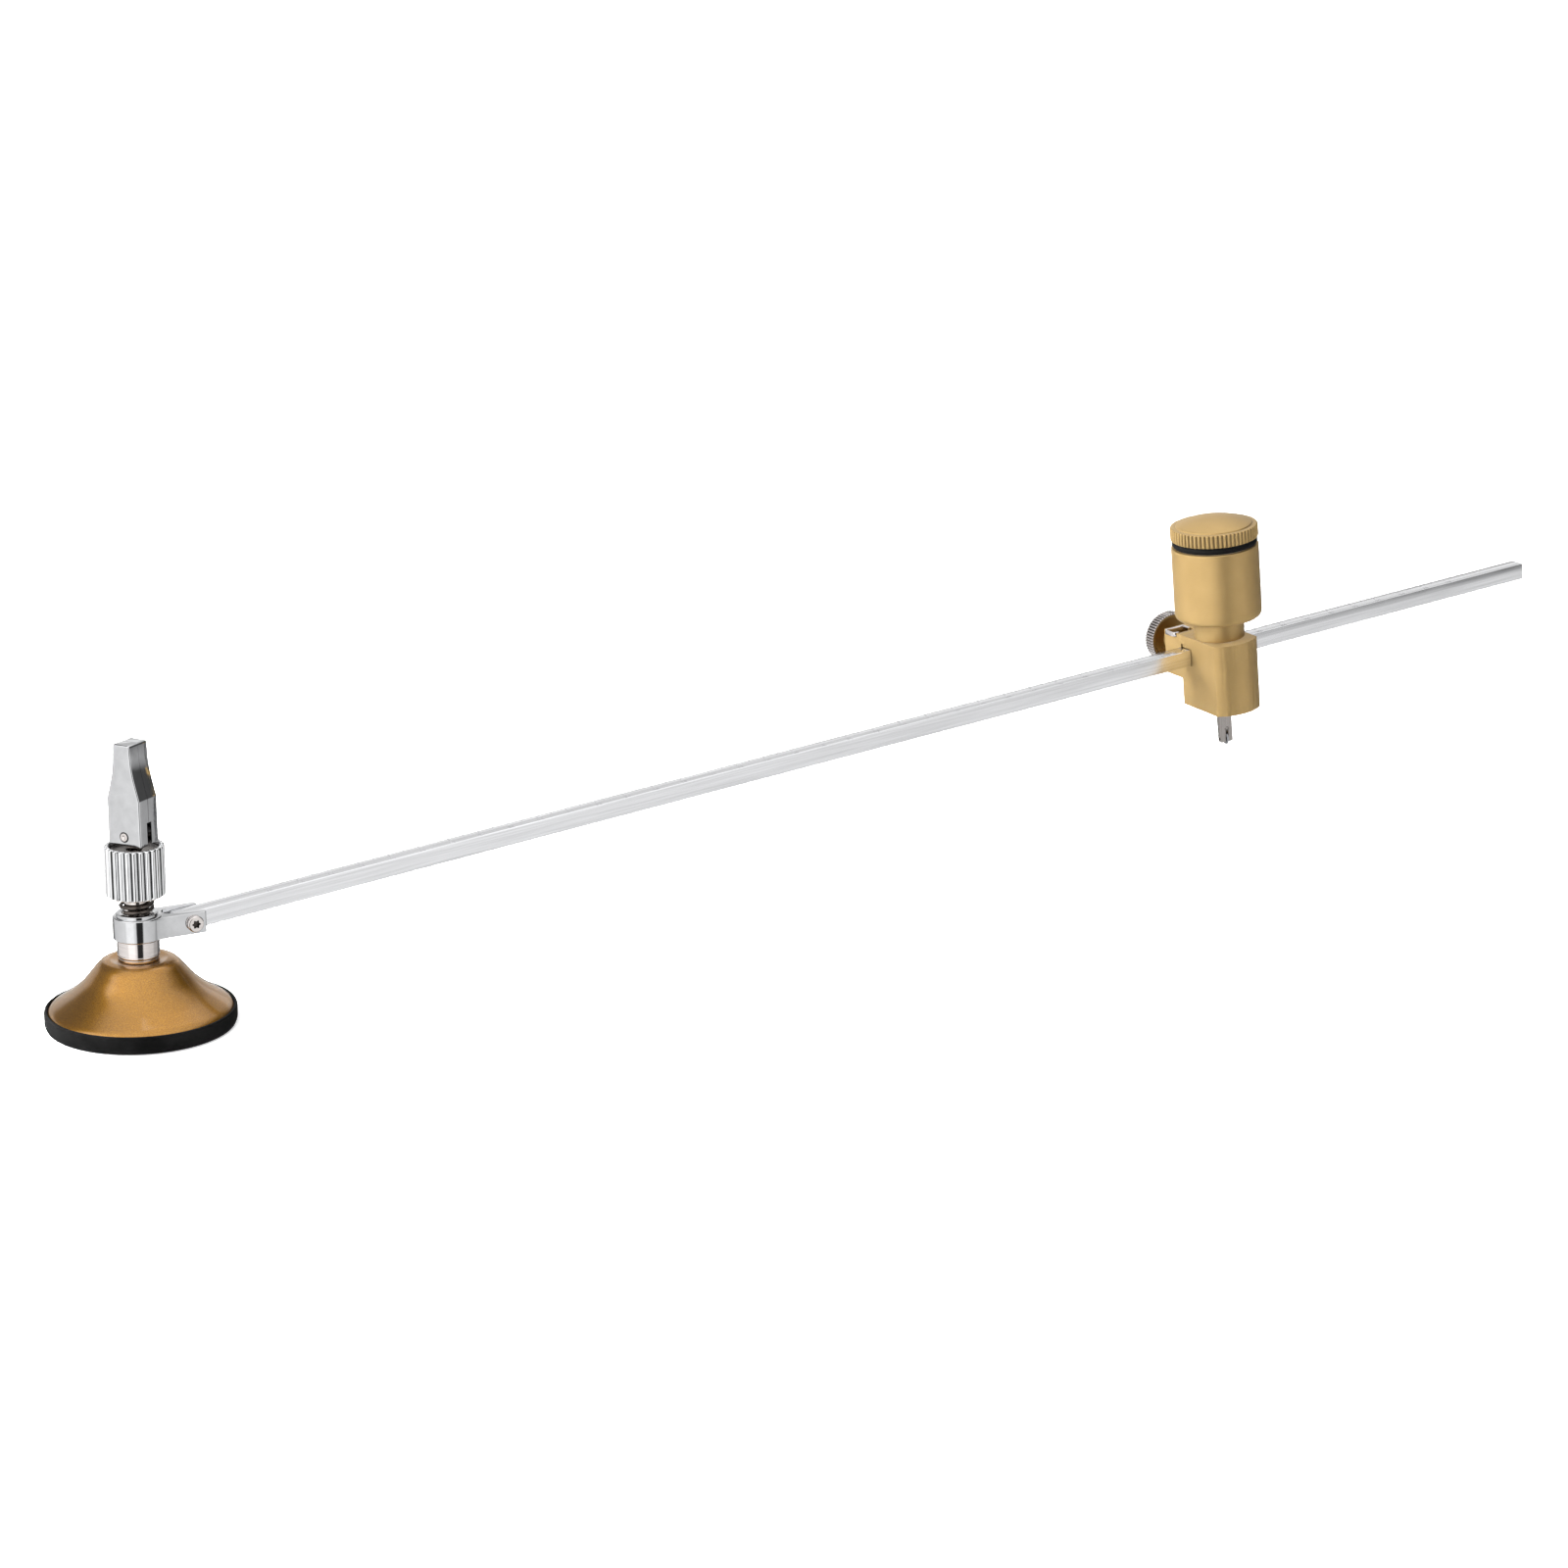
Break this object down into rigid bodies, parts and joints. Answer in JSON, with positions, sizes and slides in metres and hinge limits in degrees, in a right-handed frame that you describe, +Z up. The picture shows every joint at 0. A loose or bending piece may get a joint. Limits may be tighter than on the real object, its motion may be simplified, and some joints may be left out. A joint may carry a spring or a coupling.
{
  "type": "circle cutter",
  "caption": "Glass circle cutter with a suction foot and cam lever, a swivelling arm, a graduated bar and a sliding oil-fed cutter head.",
  "frame": {"origin": "centre of the suction face under the rubber disc", "axes": "+X from the post towards the free end of the bar, +Z up along the post, +Y towards the thumb knob's side"},
  "size_m": [0.5389, 0.0566, 0.1172],
  "materials": {
    "rubber": "matte",
    "gold_lacquer": "gloss",
    "champagne_gold": "satin",
    "chrome": "polished",
    "nickel": "polished",
    "spring_steel": "satin",
    "bar_metal": "satin",
    "brass": "satin",
    "wheel_steel": "ground",
    "felt": "matte"
  },
  "bodies": {
    "foot": {"rubber_disc": "rubber", "dome_cover": "gold_lacquer", "base_washer": "nickel", "post_sleeve": "nickel", "post_lock_nut": "spring_steel", "return_spring": "spring_steel", "friction_spring": "spring_steel"},
    "rod": {"pull_rod": "nickel", "pull_plate": "spring_steel", "lever_pin": "spring_steel"},
    "lever": {"cam_lever": "chrome"},
    "arm": {"arm_bracket": "chrome", "bracket_screw": "nickel"},
    "nut_washers": {"nut_washer": "nickel", "cam_washer": "nickel"},
    "nut": {"knurled_nut": "chrome"},
    "bar": {"scale_bar": "bar_metal"},
    "head": {"head_block": "champagne_gold", "oil_reservoir": "champagne_gold", "oil_wick": "felt", "wheel_holder": "nickel", "wheel_axle": "spring_steel", "holder_set_screw": "spring_steel", "retaining_clip": "nickel"},
    "pad": {"clamp_pad": "brass"},
    "thumb": {"thumb_screw": "brass", "thumb_knob": "nickel"},
    "seal": {"cap_seal": "rubber"},
    "cap": {"reservoir_cap": "champagne_gold"},
    "wheel": {"cutter_wheel": "wheel_steel"}
  },
  "joints": [
    {"name": "rod_lift", "type": "slide", "parent": "foot", "child": "rod", "axis": [0, 0, 1], "range_m": [0, 0.00318], "deforming": ["return_spring"]},
    {"name": "lever_flip", "type": "hinge", "parent": "rod", "child": "lever", "pos_m": [0, 0, 0.05855], "axis": [-0.848, -0.5299, 0], "range_deg": [0, 90]},
    {"name": "arm_swivel", "type": "hinge", "parent": "foot", "child": "arm", "pos_m": [0, 0, 0.0305], "axis": [0, 0, 1], "continuous": true},
    {"name": "nut_travel", "type": "slide", "parent": "foot", "child": "nut_washers", "axis": [0, 0, 1], "range_m": [-0.0006, 0], "deforming": ["friction_spring"]},
    {"name": "nut_turn", "type": "hinge", "parent": "nut_washers", "child": "nut", "pos_m": [0, 0, 0.048], "axis": [0, 0, 1], "range_deg": [-270, 0]},
    {"name": "bar_tilt", "type": "hinge", "parent": "arm", "child": "bar", "pos_m": [0.0158, 0, 0.0302], "axis": [0, -1, 0], "range_deg": [-5.9, 12]},
    {"name": "head_slide", "type": "slide", "parent": "bar", "child": "head", "axis": [0.9944, 0, 0.1057], "range_m": [-0.32, 0.12]},
    {"name": "pad_travel", "type": "slide", "parent": "head", "child": "pad", "axis": [0, 1, 0], "range_m": [0, 0.0008]},
    {"name": "thumb_turn", "type": "hinge", "parent": "pad", "child": "thumb", "pos_m": [0.37926, 0.0205, 0.06875], "axis": [0, 1, 0], "range_deg": [0, 360]},
    {"name": "seal_travel", "type": "slide", "parent": "head", "child": "seal", "axis": [-0.1057, 0, 0.9944], "range_m": [0, 0.006]},
    {"name": "cap_turn", "type": "hinge", "parent": "seal", "child": "cap", "pos_m": [0.37489, -0.00748, 0.10982], "axis": [-0.1057, 0, 0.9944], "range_deg": [0, 1725]},
    {"name": "wheel_spin", "type": "hinge", "parent": "head", "child": "wheel", "pos_m": [0.38231, -0.00748, 0.04006], "axis": [0.9944, 0, 0.1057], "continuous": true}
  ],
  "couplings": [
    {"joint": "lever_flip", "follows": "rod_lift", "rad_per_m": 493.9},
    {"joint": "nut_turn", "follows": "nut_travel", "rad_per_m": 7850},
    {"joint": "thumb_turn", "follows": "pad_travel", "rad_per_m": 7850},
    {"joint": "cap_turn", "follows": "seal_travel", "rad_per_m": 5017}
  ]
}
